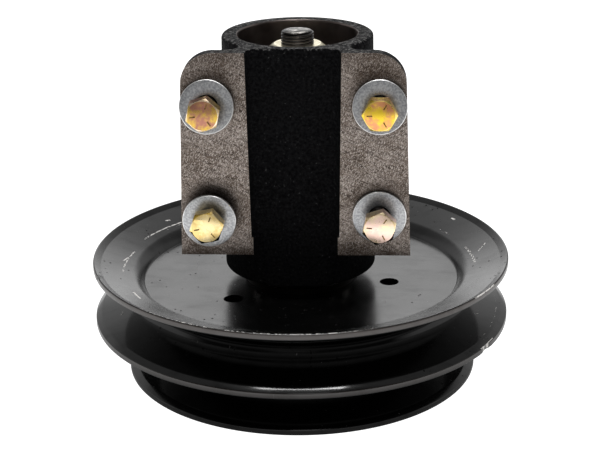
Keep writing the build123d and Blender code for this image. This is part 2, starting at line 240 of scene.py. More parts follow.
def dots(tree, place, spacing, radius, shift):
    """Mask of small round dots, seen from above, about one spacing apart."""
    moved = add_node(tree, "Mapping", place, (shift, shift, 0))
    cells = add_node(tree, "TexVoronoi", moved, 1 / spacing, voronoi_dimensions="2D")
    share = radius / spacing
    return add_node(tree, "MapRange", cells, share * 0.6, share, 1.0, 0.0)


def gloss_enamel(colours, sizes, name, rim_r, strokes, roughness, chipped):
    """Black enamel on pressed steel: a smudged gloss with dust, pits and scratches, and a worn rim."""
    material, tree, shader, place = new_material(name)
    angle, distance, height = polar(tree, place)
    around = add_node(tree, "Math", angle, rim_r, operation="MULTIPLY")
    drifts = add_node(tree, "TexNoise", place, 1 / (30 * MM), 2.0)
    clusters = add_node(tree, "MapRange", drifts, 0.45, 0.55)
    specks = dots(tree, place, 11 * MM, 0.3 * MM, 3 * MM)
    dust = add_node(tree, "Math", specks, clusters, operation="MULTIPLY")
    paint = add_node(tree, "Mix", dust, colours.enamel, linear("#454443"), data_type="RGBA")
    bare = 0.0
    if strokes:
        bare = scratched(tree, around, distance, rim_r, strokes)
        # Worn paint on the trimmed edge, lightened also as a painted sheen that stands in for the edge's
        # reflection
        wear_and_sheen_share = 0.9 if chipped else 0.4
        trim_start, trim_end = rim_r - 0.3 * MM, rim_r - 0.05 * MM
        trimmed = add_node(tree, "MapRange", distance, trim_start, trim_end, 0.0, wear_and_sheen_share)
        paint = add_node(tree, "Mix", trimmed, paint, linear("#443E3B"), data_type="RGBA")
    if chipped:
        rolled = add_node(tree, "CombineXYZ", around, distance, height)
        drawn_out = add_node(tree, "Mapping", rolled, None, None, (0.6, 1, 1))
        fine = add_node(tree, "TexNoise", drawn_out, 1 / (1.3 * MM), 3.0, 0.7)
        off_edge = add_node(tree, "Math", distance, rim_r - sizes.rim_flat, operation="SUBTRACT")
        off_edge = add_node(tree, "Math", off_edge, operation="ABSOLUTE")
        corner = add_node(tree, "MapRange", off_edge, 0.25 * MM, 0.5 * MM, 1.0, 0.0)
        inner = add_node(tree, "MapRange", distance, rim_r - 0.6 * MM, rim_r - 0.4 * MM)
        outer = add_node(tree, "MapRange", distance, rim_r - 0.08 * MM, rim_r - 0.02 * MM, 1.0, 0.0)
        turned = add_node(tree, "Math", inner, outer, operation="MULTIPLY")
        # Chips along the front corner of the rim, then a stretch of its round on the right painted near white
        for zone, (start, full, fading, end), (whole, gone) in (
            (corner, (-44, -30, 12, 24), (0.5, 0.56)),
            (turned, (54, 55.5, 64, 66), (0.36, 0.42)),
        ):
            begun = add_node(tree, "MapRange", angle, radians(start), radians(full))
            going = add_node(tree, "MapRange", angle, radians(fading), radians(end), 1.0, 0.0)
            flaked = add_node(tree, "MapRange", fine, whole, gone)
            for share in (begun, going, flaked):
                zone = add_node(tree, "Math", zone, share, operation="MULTIPLY")
            bare = add_node(tree, "Math", bare, zone, operation="MAXIMUM")
    add_node(tree, "Mix", bare, paint, linear("#D8D5D1"), data_type="RGBA", to=shader["Base Color"])
    pits = dots(tree, place, 7 * MM, 0.6 * MM, 0.0)
    patches = add_node(tree, "TexNoise", place, 1 / (9 * MM), 1.0)
    patches = add_node(tree, "MapRange", patches, 0.47, 0.53)
    off_rim = add_node(tree, "MapRange", distance, rim_r - 1.5 * MM, rim_r - 1.0 * MM, 1.0, 0.0)
    for share in (clusters, patches, off_rim):
        pits = add_node(tree, "Math", pits, share, operation="MULTIPLY")
    drawn_out = add_node(tree, "Mapping", place, None, None, (1, 2, 1))
    smudges = add_node(tree, "TexNoise", drawn_out, 1 / (16 * MM), 4.0, 0.6)
    shine = add_node(tree, "MapRange", smudges, 0.5, 0.72, 0.53, 0.36)
    dulled = add_node(tree, "MapRange", pits, 0.0, 1.0, 1.0, 0.2)
    add_node(tree, "Math", shine, dulled, operation="MULTIPLY", to=shader["Specular IOR Level"])
    flow = add_node(tree, "TexNoise", place, 1 / (24 * MM), 3.0, 0.6)
    satin = add_node(tree, "MapRange", flow, 0.35, 0.7, roughness, roughness * 1.35)
    torn = add_node(tree, "Math", pits, bare, operation="MAXIMUM")
    torn = add_node(tree, "Math", torn, 0.4, operation="MULTIPLY")
    add_node(tree, "Math", satin, torn, operation="ADD", to=shader["Roughness"])
    ripple = add_node(tree, "TexNoise", place, 1 / (3 * MM), 1.0)
    add_node(tree, "Bump", None, 0.003 * MM, None, ripple, to=shader["Normal"])
    return material


def casting_paint(colours, top):
    """Satin black paint over a sand-cast skin, light on the high grains as worn paint and painted glints,
    more so at the top edge as a painted highlight.
    """
    material, tree, shader, place = new_material("Painted cast iron", Roughness=0.6, Specular_IOR_Level=0.02)
    height = add_node(tree, "SeparateXYZ", place).node.outputs["Z"]
    sand = add_node(tree, "TexNoise", place, 1 / (1.3 * MM), 3.0, 0.65)
    lumps = add_node(tree, "TexNoise", place, 1 / (5 * MM), 2.0)
    # Painted highlight: more light grains towards the top edge, where the light from above falls
    painted_sheen = add_node(tree, "MapRange", height, top - 1.2 * MM, top - 0.3 * MM, 0.0, 0.17)
    high = add_node(tree, "Math", sand, painted_sheen, operation="ADD")
    high = add_node(tree, "MapRange", high, 0.68, 0.78)
    level = add_node(tree, "MapRange", sand, 0.34, 0.66)
    paint = add_node(tree, "Mix", level, linear("#050506"), colours.casting, data_type="RGBA")
    add_node(tree, "Mix", high, paint, linear("#5E5D5C"), data_type="RGBA", to=shader["Base Color"])
    skin = add_node(tree, "Math", sand, lumps, operation="ADD")
    add_node(tree, "Bump", None, 0.7 * MM, None, skin, to=shader["Normal"])
    return material


def milled_iron(colours, sizes, foot, top, middle):
    """Bare cast iron, milled and ground: dark cuts, bright specks, painted shadows round the bolts, painted
    shade at the foot, a darker top.
    """
    material, tree, shader, place = new_material("Milled iron", Metallic=1.0)
    across, _, height = add_node(tree, "SeparateXYZ", place).node.outputs
    # Grinding marks, coarser than real ones so that they show: lean in degrees, roughness and stretch
    marks = []
    for lean, roughness, stretch in ((64, 0.6, 0.07), (-30, 0.65, 0.35)):
        turned = add_node(tree, "Mapping", place, None, (0, radians(lean), 0))
        drawn_out = add_node(tree, "Mapping", turned, None, None, (1, 1, stretch))
        marks.append(add_node(tree, "TexNoise", drawn_out, 1 / (0.36 * MM), 3.0, roughness))
    cuts, specks = marks
    stain = add_node(tree, "TexNoise", place, 1 / (14 * MM), 3.0)
    clean = add_node(tree, "MapRange", stain, 0.38, 0.62)
    metal = add_node(tree, "Mix", clean, linear("#675B52"), colours.milled, data_type="RGBA")
    scored = add_node(tree, "MapRange", cuts, 0.4, 0.54, 0.9, 0.0)
    metal = add_node(tree, "Mix", scored, metal, linear("#332B26"), data_type="RGBA")
    bright = add_node(tree, "MapRange", specks, 0.5, 0.62, 0.0, 0.8)
    metal = add_node(tree, "Mix", bright, metal, linear("#C4BBB4"), data_type="RGBA")
    # Distance from a point a little above the nearest bolt, where the painted shadow of its washer is centred
    side = add_node(tree, "Math", across, operation="ABSOLUTE")
    side = add_node(tree, "Math", side, sizes.bolt_across / 2, operation="SUBTRACT")
    side = add_node(tree, "Math", side, side, operation="MULTIPLY")
    row = add_node(tree, "Math", height, middle + 3 * MM, operation="SUBTRACT")
    row = add_node(tree, "Math", row, operation="ABSOLUTE")
    row = add_node(tree, "Math", row, sizes.bolt_along / 2, operation="SUBTRACT")
    row = add_node(tree, "Math", row, row, operation="MULTIPLY")
    far = add_node(tree, "Math", side, row, operation="ADD")
    far = add_node(tree, "Math", far, operation="SQRT")
    # Painted shadow round the bolts, painted shade at the foot, and a darker top: what each goes by,
    # how far the stain shifts it, where it starts and ends, and how strong it is there
    painted_shade_and_dark_top = 0.0
    for measure, shift, start, end, first, last in (
        (far, 8 * MM, 14 * MM, 23 * MM, 0.7, 0.0),
        (height, 16 * MM, foot + 8 * MM, foot + 13 * MM, 0.7, 0.15),
        (height, -8 * MM, top - 18 * MM, top - 6 * MM, 0.0, 0.4),
    ):
        shifted = add_node(tree, "Math", stain, shift, operation="MULTIPLY")
        shifted = add_node(tree, "Math", measure, shifted, operation="ADD")
        share = add_node(tree, "MapRange", shifted, start, end, first, last)
        painted_shade_and_dark_top = add_node(tree, "Math", painted_shade_and_dark_top, share, operation="MAXIMUM")
    add_node(tree, "Mix", painted_shade_and_dark_top, metal, linear("#39302A"), data_type="RGBA", to=shader["Base Color"])
    add_node(tree, "MapRange", stain, 0.3, 0.7, 0.44, 0.34, to=shader["Roughness"])
    relief = add_node(tree, "Math", cuts, specks, operation="ADD")
    add_node(tree, "Bump", None, 0.03 * MM, None, relief, to=shader["Normal"])
    return material


def bored_iron(colours):
    """Cast iron left bare by the boring bar, with its fine turning rings and a film of oil."""
    material, tree, shader, place = new_material("Bored iron", Metallic=1.0, Roughness=0.34)
    stain = add_node(tree, "TexNoise", place, 1 / (12 * MM), 2.0)
    wiped = add_node(tree, "MapRange", stain, 0.35, 0.65)
    add_node(tree, "Mix", wiped, linear("#564E4B"), colours.bored, data_type="RGBA", to=shader["Base Color"])
    ringed = add_node(tree, "Mapping", place, None, None, RINGS)
    rings = add_node(tree, "TexNoise", ringed, 1 / (0.35 * MM), 1.0)
    add_node(tree, "Bump", None, 0.01 * MM, None, rings, to=shader["Normal"])
    return material


def turned_steel(colours, name, roughness):
    """Plain steel from the lathe or the grinder, with fine rings round its axis."""
    looks = {"Metallic": 1.0, "Base_Color": colours.steel, "Roughness": roughness}
    material, tree, shader, place = new_material(name, **looks)
    ringed = add_node(tree, "Mapping", place, None, None, RINGS)
    rings = add_node(tree, "TexNoise", ringed, 1 / (0.3 * MM), 1.0)
    add_node(tree, "Bump", None, 0.006 * MM, None, rings, to=shader["Normal"])
    return material


def oiled_steel(name, colour):
    """Cut steel, dark and half dull under a film of old oil."""
    material, tree, shader, place = new_material(name, Metallic=1.0, Base_Color=colour, Roughness=0.4)
    tears = add_node(tree, "TexNoise", place, 1 / (0.3 * MM), 2.0)
    add_node(tree, "Bump", None, 0.01 * MM, None, tears, to=shader["Normal"])
    return material


def sawn_end():
    """Rough end of a steel bar, sawn and filed bright in places, with dirt in its marks."""
    material, tree, shader, place = new_material("Sawn steel", Metallic=1.0, Roughness=0.42)
    drawn_out = add_node(tree, "Mapping", place, None, None, (0.5, 1, 1))
    marks = add_node(tree, "TexNoise", drawn_out, 1 / (2.2 * MM), 4.0, 0.7)
    filed = add_node(tree, "MapRange", marks, 0.46, 0.6)
    dark, bright = linear("#1F1D1C"), linear("#C4C0BB")
    add_node(tree, "Mix", filed, dark, bright, data_type="RGBA", to=shader["Base Color"])
    add_node(tree, "Bump", None, 0.12 * MM, None, marks, to=shader["Normal"])
    return material


def plated(name, light, dark, roughness, cloud, bump):
    """Metal with a thin bright skin, such as plated zinc or a lighter edge finish that is partly painted
    sheen, clouded by handling.
    """
    material, tree, shader, place = new_material(name, Metallic=1.0)
    clouds = add_node(tree, "TexNoise", place, 1 / cloud, 1.0, 0.4)
    mottle = add_node(tree, "TexNoise", place, 5 / cloud, 2.0)
    tone = add_node(tree, "Math", mottle, 0.5, operation="MULTIPLY")
    tone = add_node(tree, "Math", clouds, tone, operation="ADD")
    tone = add_node(tree, "MapRange", tone, 0.62, 0.88)
    add_node(tree, "Mix", tone, dark, light, data_type="RGBA", to=shader["Base Color"])
    add_node(tree, "MapRange", mottle, 0.3, 0.7, roughness * 1.2, roughness * 0.85, to=shader["Roughness"])
    # Real crystals are too fine to show, so these are coarser
    crystals = add_node(tree, "TexNoise", place, 1 / (0.5 * MM), 3.0, 0.6)
    add_node(tree, "Bump", None, bump, None, crystals, to=shader["Normal"])
    return material


def dull_zinc():
    """Dull yellow plating on raised marks, dark partly with dirt and partly as painted shade."""
    material, tree, shader, place = new_material("Dull shaded zinc", Metallic=1.0, Roughness=0.5)
    dirt = add_node(tree, "TexNoise", place, 1 / (0.6 * MM), 2.0)
    dirt = add_node(tree, "MapRange", dirt, 0.4, 0.6)
    # The marks' dark colours are partly dirt, partly painted shade
    dark, light = linear("#4A3A22"), linear("#8A6F3A")
    add_node(tree, "Mix", dirt, dark, light, data_type="RGBA", to=shader["Base Color"])
    return material


def seal_rubber(colours):
    """Moulded nitrile rubber, dark and dull."""
    material, tree, shader, place = new_material("Nitrile rubber", Base_Color=colours.rubber, Roughness=0.6)
    # The mould's texture is drawn as coarse as it needs to show
    skin = add_node(tree, "TexNoise", place, 1 / (0.2 * MM), 2.0)
    add_node(tree, "Bump", None, 0.01 * MM, None, skin, to=shader["Normal"])
    return material


def finish_piece(work, name, body, nodes, materials, sharp=35):
    """Turn a worked mesh into a named piece of the object that stands for CAD nodes."""
    bmesh.ops.recalc_face_normals(work, faces=work.faces)
    mesh = bpy.data.meshes.new(name)
    work.to_mesh(mesh)
    work.free()
    mesh.shade_smooth()
    mesh.set_sharp_from_angle(angle=radians(sharp))
    for material in materials:
        mesh.materials.append(material)
    piece = bpy.data.objects.new(name, mesh)
    bpy.context.scene.collection.objects.link(piece)
    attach(piece, body)
    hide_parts(*nodes)
    return piece


def cad_copy(node):
    """A worked copy of a CAD node's mesh, with its seams merged."""
    work = bmesh.new()
    work.from_mesh(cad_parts[node].data)
    bmesh.ops.remove_doubles(work, verts=work.verts, dist=MERGED)
    for face in work.faces:
        face.material_index = 0
    return work


def beside(line, distance):
    """The line moved to its right by a distance, with sharp corners."""
    runs = [(b - a).normalized() for a, b in zip(line, line[1:])]
    rights = [Vector((run.z, 0, -run.x)) for run in runs]
    moved = []
    for i, point in enumerate(line):
        first = rights[max(i - 1, 0)]
        second = rights[min(i, len(rights) - 1)]
        moved.append(point + (first + second) / (1 + first.dot(second)) * distance)
    return moved


def bevel_corner(work, vertex, radius, segments):
    """Round one corner of a flat section to a radius."""
    first, second = ((edge.other_vert(vertex).co - vertex.co).normalized() for edge in vertex.link_edges)
    half_turn = (pi - first.angle(second)) / 2
    bmesh.ops.bevel(
        work,
        geom=[vertex],
        offset=radius * tan(half_turn),
        offset_type="OFFSET",
        affect="VERTICES",
        segments=segments,
        profile=0.5,
        material=-1,
    )


def helix(work, centre, axis, out, turns, pitch, root_r, outer_r, steps):
    """Add a closed thread ridge, its crest worn, that winds up an axis. Out is where it starts round it."""
    foot = pitch * 0.46
    crest = pitch * 0.22
    worn = pitch * 0.08
    inside = root_r - pitch * 0.1
    section = [
        (inside, -foot),
        (outer_r - worn, -crest),
        (outer_r, -crest / 2),
        (outer_r, crest / 2),
        (outer_r - worn, crest),
        (inside, foot),
    ]
    points = [work.verts.new(centre + out * r + axis * z) for r, z in section]
    start = work.faces.new(points)
    bmesh.ops.spin(
        work,
        geom=[start, *start.edges, *points],
        cent=centre,
        axis=axis,
        dvec=axis * (pitch / steps),
        angle=2 * pi * turns,
        steps=int(steps * turns),
        use_duplicate=False,
    )


class JACKSHAFT_OT_pulleys(bpy.types.Operator):
    """Make the four pressed pulley halves"""

    bl_idname = "jackshaft.pulleys"
    bl_label = "Pulleys"
    sharp = 40

    def rim_radius(self, node):
        """Radius of the rim of a half."""
        low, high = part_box(node)
        return (high.x - low.x) / 2

    def section(self, sizes, rim_r, half_depth):
        """Closed flat section of a half that opens upwards from its mid-plane, as a worked mesh."""
        slope = sizes.lip_rise / (sizes.lip_run - sizes.rim_flat)
        skin = [
            Vector((sizes.hub_seat / 2, 0, sizes.sheet)),
            Vector((rim_r - sizes.groove_depth, 0, sizes.sheet)),
            Vector((rim_r - sizes.groove_depth + sizes.wall_run, 0, sizes.sheet + sizes.wall_rise)),
            Vector((rim_r - sizes.lip_run, 0, half_depth - sizes.lip_rise)),
            Vector((rim_r - sizes.rim_flat, 0, half_depth)),
        ]
        under = beside(skin, sizes.sheet)
        under[-2] -= (under[-2] - under[-3]).normalized() * sizes.lip_set
        lip_foot = under[-2]
        under[-1] = Vector((rim_r, 0, lip_foot.z + (rim_r - lip_foot.x) * slope))
        outline = skin + [Vector((rim_r, 0, half_depth))] + under[::-1]
        bends = [
            0,
            sizes.web_bend,
            sizes.cone_bend,
            sizes.lip_bend,
            sizes.burr_round,
            sizes.rim_round,
            sizes.rim_round,
            sizes.lip_bend + sizes.sheet,
            sizes.cone_bend - sizes.sheet,
            sizes.web_bend + sizes.sheet,
            0,
        ]
        work = bmesh.new()
        corners = [work.verts.new(point) for point in outline]
        work.faces.new(corners)
        for corner, bend in zip(corners, bends):
            if bend:
                bevel_corner(work, corner, bend, 3 if bend < sizes.lip_bend else 7)
        bmesh.ops.delete(work, geom=list(work.faces), context="FACES_ONLY")
        return work

    def press_in(self, work, angle, radius, height, reach, push):
        """Dent the sheet at a place, by a push inwards and upwards that fades with distance."""
        out = Vector((sin(angle), -cos(angle), 0))
        place = out * radius + AXIS * height
        for vertex in work.verts:
            near = 1 - (vertex.co - place).length / reach
            if near > 0:
                vertex.co += (AXIS * 0.7 - out) * push * near * near

    def half(self, sizes, node, opens_up, materials, dents):
        """One pulley half, spun from its section in its node's place, its upper side in the first finish."""
        low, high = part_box(node)
        rim_r = self.rim_radius(node)
        work = self.section(sizes, rim_r, high.z - low.z)
        bmesh.ops.spin(
            work,
            geom=[*work.verts, *work.edges],
            cent=Vector(),
            axis=AXIS,
            angle=2 * pi,
            steps=sizes.segments,
            use_merge=True,
        )
        if opens_up:
            place = Matrix.Translation((0, 0, low.z))
        else:
            place = Matrix.Translation((0, 0, high.z)) @ Matrix.Diagonal((1, 1, -1, 1))
        bmesh.ops.transform(work, matrix=place, verts=work.verts)
        bmesh.ops.remove_doubles(work, verts=work.verts, dist=MERGED)
        bmesh.ops.recalc_face_normals(work, faces=work.faces)
        for face in work.faces:
            face.material_index = 0 if face.normal.z > -0.1 else 1
        for angle, from_top, reach in dents:
            self.press_in(work, radians(angle), rim_r, high.z - from_top * MM, reach * MM, sizes.dent)
        name = f"{node}_pressing"
        return finish_piece(work, name, "rotor", [node], materials, self.sharp)

    def drill(self, sizes, piece, node):
        """Cut the ring of holes through a half's web."""
        low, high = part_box(node)
        cutter_work = bmesh.new()
        for turn in range(3):
            angle = sizes.hole_angle + turn * 2 * pi / 3
            centre = Vector((cos(angle), sin(angle), 0)) * sizes.hole_circle / 2
            bmesh.ops.create_cone(
                cutter_work,
                cap_ends=True,
                segments=64,
                radius1=sizes.hole / 2,
                radius2=sizes.hole / 2,
                depth=(high.z - low.z) * 3,
                matrix=Matrix.Translation(centre + AXIS * (low.z + high.z) / 2),
            )
        mesh = bpy.data.meshes.new("web_hole_cutter")
        cutter_work.to_mesh(mesh)
        cutter_work.free()
        cutter = bpy.data.objects.new("web_hole_cutter", mesh)
        bpy.context.scene.collection.objects.link(cutter)
        drilled = piece.modifiers.new("Web holes", "BOOLEAN")
        drilled.object = cutter
        drilled.solver = "EXACT"
        evaluated = piece.evaluated_get(bpy.context.evaluated_depsgraph_get())
        shaped = bpy.data.meshes.new_from_object(evaluated)
        piece.modifiers.clear()
        piece.data = shaped
        shaped.set_sharp_from_angle(angle=radians(self.sharp))
        bpy.data.objects.remove(cutter)

    def execute(self, context):
        sizes = context.scene.jackshaft_sizes
        colours = context.scene.jackshaft_colours
        upper_rim = self.rim_radius("upper_pulley_top_half")
        lower_rim = self.rim_radius("lower_pulley_top_half")
        dish, groove, plain = (
            gloss_enamel(colours, sizes, name, rim_r, strokes, roughness, chipped)
            for name, rim_r, strokes, roughness, chipped in (
                ("Chipped black enamel", upper_rim, DISH_SCRATCHES, 0.2, True),
                ("Scratched black enamel", upper_rim, GROOVE_SCRATCHES, 0.1, False),
                ("Black enamel", lower_rim, (), 0.14, False),
            )
        )
        # Each dent: degrees round from the front, mm below the top of the half, and its reach in mm
        for node, opens_up, paint, dents in (
            ("upper_pulley_top_half", True, [dish, plain], [(-68.5, 0.5, 3.5)]),
            ("upper_pulley_bottom_half", False, [groove, plain], [(61, 14.5, 6.5)]),
            ("lower_pulley_top_half", True, [plain, plain], []),
            ("lower_pulley_bottom_half", False, [plain, plain], []),
        ):
            piece = self.half(sizes, node, opens_up, paint, dents)
            if node.startswith("upper"):
                self.drill(sizes, piece, node)
        return {"FINISHED"}


class JACKSHAFT_OT_housing(bpy.types.Operator):
    """Dress the cast housing, with its pads and bores bare"""

    bl_idname = "jackshaft.housing"
    bl_label = "Housing"

    def is_cast_top(self, edge, top, bore_r):
        """Whether an edge lies round the outside of the top face."""
        start, end = (vertex.co for vertex in edge.verts)
        high_up = min(start.z, end.z) > top - 0.05 * MM
        outside = min(start.xy.length, end.xy.length) > bore_r + 1.0 * MM
        return high_up and outside and edge.calc_face_angle(0) > radians(40)

    def execute(self, context):
        sizes = context.scene.jackshaft_sizes
        colours = context.scene.jackshaft_colours
        low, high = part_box("housing")
        on_pad, in_bore, on_edge = 1, 2, 3
        work = cad_copy("housing")
        bore_r = sizes.bore / 2 + 1.0 * MM
        for face in work.faces:
            middle = face.calc_center_median()
            outward = Vector((middle.x, middle.y, 0))
            if face.normal.y < -0.99 and abs(middle.y - low.y) < 0.1 * MM:
                face.material_index = on_pad
            elif outward.length < bore_r and face.normal.dot(outward) < 0 and abs(face.normal.z) < 0.9:
                face.material_index = in_bore
        bmesh.ops.dissolve_limit(
            work,
            angle_limit=radians(0.5),
            use_dissolve_boundaries=False,
            verts=work.verts,
            edges=work.edges,
            delimit={"MATERIAL"},
        )
        pad_heights = [v.co.z for face in work.faces if face.material_index == on_pad for v in face.verts]
        pad_foot, pad_top = min(pad_heights), max(pad_heights)
        tops = [e for e in work.edges if self.is_cast_top(e, high.z, bore_r)]
        bmesh.ops.bevel(
            work,
            geom=tops,
            offset=sizes.cast_round,
            offset_type="OFFSET",
            affect="EDGES",
            segments=4,
            profile=0.5,
            clamp_overlap=True,
            material=-1,
        )
        pads = {face for face in work.faces if face.material_index == on_pad}
        rims = [e for e in work.edges if len(pads.intersection(e.link_faces)) == 1]
        bmesh.ops.bevel(
            work,
            geom=rims,
            offset=sizes.edge,
            offset_type="OFFSET",
            affect="EDGES",
            segments=2,
            profile=0.5,
            clamp_overlap=True,
            material=on_edge,
        )
        # Painted shade: the bevels along the foot of the pads, which face down, take the black paint instead
        # of the rubbed iron
        for face in work.faces:
            if face.material_index == on_edge and face.calc_center_median().z < pad_foot + sizes.edge:
                face.material_index = 0
        bolts_low, bolts_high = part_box("mount_bolts")
        pad_iron = milled_iron(colours, sizes, pad_foot, pad_top, (bolts_low.z + bolts_high.z) / 2)
        # Rubbed iron on the other pad edges, its light colour also a painted highlight
        worn = plated("Rubbed and highlit iron edge", linear("#B4ABA3"), linear("#5C524B"), 0.4, 3 * MM, 0.02 * MM)
        materials = [casting_paint(colours, high.z), pad_iron, bored_iron(colours), worn]
        name = "cast_housing"
        piece = finish_piece(work, name, "housing", ["housing"], materials, sharp=30)
        weighted = piece.modifiers.new("Flat faces", "WEIGHTED_NORMAL")
        weighted.keep_sharp = True
        return {"FINISHED"}


class JACKSHAFT_OT_shaft(bpy.types.Operator):
    """Cut the thread of the shaft and dress its nut"""

    bl_idname = "jackshaft.shaft"
    bl_label = "Shaft and nut"

    def execute(self, context):
        sizes = context.scene.jackshaft_sizes
        colours = context.scene.jackshaft_colours
        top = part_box("shaft")[1].z
        outer_r = sizes.shaft_thread / 2
        root_r = outer_r - sizes.shaft_pitch * THREAD_DEPTH
        start = top - sizes.thread_shown
        work = cad_copy("shaft")
        for vertex in work.verts:
            away = Vector((vertex.co.x, vertex.co.y, 0))
            if vertex.co.z > start and away.length > root_r:
                vertex.co -= away.normalized() * (away.length - root_r)
        turns = int(sizes.thread_shown / sizes.shaft_pitch)
        bar = set(work.verts)
        foot, front = Vector((0, 0, start)), Vector((0, -1, 0))
        helix(work, foot, AXIS, front, turns, sizes.shaft_pitch, root_r, outer_r, steps=72)
        for vertex in set(work.verts) - bar:
            away = Vector((vertex.co.x, vertex.co.y, 0))
            limit = outer_r - max(vertex.co.z - top + sizes.thread_chamfer, 0)
            if away.length > limit:
                vertex.co -= away.normalized() * (away.length - limit)
            vertex.co.z = min(vertex.co.z, top - 0.05 * MM)
        # Dark oiled flanks that also stand for painted shade in the valleys, lighter crests that are partly a
        # painted highlight, and the sawn end
        oil_and_shade, sawn, wiped = 1, 2, 3
        crest_r = outer_r - sizes.shaft_pitch * CREST_LIGHTENED
        end = max(vertex.co.z for vertex in work.verts)
        for face in work.faces:
            far = [Vector((v.co.x, v.co.y, 0)).length for v in face.verts]
            lowest = min(v.co.z for v in face.verts)
            if lowest > end - NEAR:
                face.material_index = sawn
            elif lowest > start:
                face.material_index = oil_and_shade if min(far) < crest_r else wiped
        finishes = [
            turned_steel(colours, "Turned steel", 0.34),
            oiled_steel("Oiled and shaded thread", colours.oil),
            sawn_end(),
            oiled_steel("Wiped and highlit crests", linear("#524E4B")),
        ]
        finish_piece(work, "threaded_shaft", "rotor", ["shaft"], finishes)
        nut = cad_copy("top_nut")
        plating = plated("Pale zinc", colours.pale_zinc, linear("#CFC6A8"), 0.3, 6 * MM, 0.006 * MM)
        finish_piece(nut, "plated_nut", "rotor", ["top_nut"], [plating], sharp=20)
        return {"FINISHED"}


class JACKSHAFT_OT_bolts(bpy.types.Operator):
    """Thread and mark the four bolts, and dress their washers"""

    bl_idname = "jackshaft.bolts"
    bl_label = "Bolts and washers"

    def bolt(self, sizes, corner, centre, materials, turn, shaded_below):
        """One bolt, kept from the CAD's four, with its thread cut and its head marked."""
        low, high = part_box("mount_bolts")
        work = cad_copy("mount_bolts")
        others = [v for v in work.verts if (v.co - centre).xz.length > sizes.bolt_along / 2]
        bmesh.ops.delete(work, geom=others, context="VERTS")
        outer_r = sizes.bolt_thread / 2
        root_r = outer_r - sizes.bolt_pitch * THREAD_DEPTH
        underside = low.y + sizes.bolt_head
        for vertex in work.verts:
            away = Vector((vertex.co.x - centre.x, 0, vertex.co.z - centre.z))
            if vertex.co.y > underside - NEAR and root_r < away.length < outer_r + NEAR:
                vertex.co -= away.normalized() * (away.length - root_r)
        turns = int((high.y - underside) / sizes.bolt_pitch) - 1
        foot = Vector((centre.x, underside + sizes.bolt_pitch * 0.5, centre.z))
        inwards, right = Vector((0, 1, 0)), Vector((1, 0, 0))
        helix(work, foot, inwards, right, turns, sizes.bolt_pitch, root_r, outer_r, steps=36)
        for mark in range(3):
            angle = turn + mark * 2 * pi / 3
            out = Vector((cos(angle), 0, sin(angle)))
            spot = Vector((centre.x, low.y, centre.z)) + out * (sizes.bolt_head * 0.78)
            size = Matrix.Diagonal((sizes.dash_length, sizes.dash_height * 2, sizes.dash_width, 1))
            place = Matrix.Translation(spot) @ Matrix.Rotation(-angle, 4, "Y") @ size
            bmesh.ops.create_cube(work, size=1, matrix=place)
        # Painted shade: the thread behind the head, and on the lower bolts the chamfer faces that face down,
        # take dark oiled steel
        marked, painted_sheen, oil_and_shade = 1, 2, 3
        for face in work.faces:
            depth = face.calc_center_median().y
            chamfer = -0.95 < face.normal.y < -0.5 and depth < underside
            if depth < low.y - NEAR:
                face.material_index = marked
            elif depth > underside + NEAR or chamfer and shaded_below and face.normal.z < -0.1:
                face.material_index = oil_and_shade
            elif chamfer:
                face.material_index = painted_sheen
        name = f"{corner}_bolt"
        finish_piece(work, name, "housing", ["mount_bolts"], materials, sharp=20)

    def execute(self, context):
        sizes = context.scene.jackshaft_sizes
        colours = context.scene.jackshaft_colours
        low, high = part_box("mount_bolts")
        middle = (low + high) / 2
        across, along = sizes.bolt_across / 2, sizes.bolt_along / 2
        dull = dull_zinc()
        oil_and_shade = oiled_steel("Bolt thread in painted shade", colours.oil)
        gold, rose = colours.yellow_zinc, colours.rose_zinc
        # Each bolt's side and row, its plating's two shades, its chamfer ring's colour, rubbed plating made
        # lighter or darker as a painted reflection, and the turn of its dashes
        shades = {
            "upper_left": (-1, 1, linear("#CBA94E"), rose, linear("#FBE6CF"), 68),
            "upper_right": (1, 1, gold, linear("#D8966A"), linear("#F8DC84"), 60),
            "lower_left": (-1, -1, linear("#F5DFA8"), linear("#E8CB86"), linear("#DDB651"), 70),
            "lower_right": (1, -1, linear("#FDE8BE"), linear("#F7D6C6"), linear("#CFA76C"), 55),
        }
        for corner, (side, row, light, dark, worn, turn) in shades.items():
            centre = Vector((side * across, 0, middle.z + row * along))
            plating = plated(f"Yellow zinc {corner}", light, dark, 0.3, 7 * MM, 0.006 * MM)
            # Chamfer ring: rubbed plating, with a painted reflection in its colour
            rim = plated(f"Zinc with painted sheen {corner}", worn, light, 0.3, 5 * MM, 0.006 * MM)
            self.bolt(sizes, corner, centre, [plating, dull, rim, oil_and_shade], radians(turn), row < 0)
        washers = cad_copy("mount_washers")
        rims = [e for e in washers.edges if len(e.link_faces) == 2 and e.calc_face_angle() > radians(60)]
        bmesh.ops.bevel(
            washers,
            geom=rims,
            offset=sizes.edge,
            offset_type="OFFSET",
            affect="EDGES",
            segments=3,
            profile=0.5,
            material=1,
        )
        # Painted highlight: the bevelled washer rims are a near-white zinc
        rim = plated("Zinc with painted sheen", linear("#F8F8F7"), linear("#DEDEDD"), 0.36, 3 * MM, 0.006 * MM)
        zinc = plated("Plain zinc", colours.zinc, linear("#96979A"), 0.36, 0.9 * MM, 0.03 * MM)
        finish_piece(washers, "stamped_washers", "housing", ["mount_washers"], [zinc, rim])
        return {"FINISHED"}


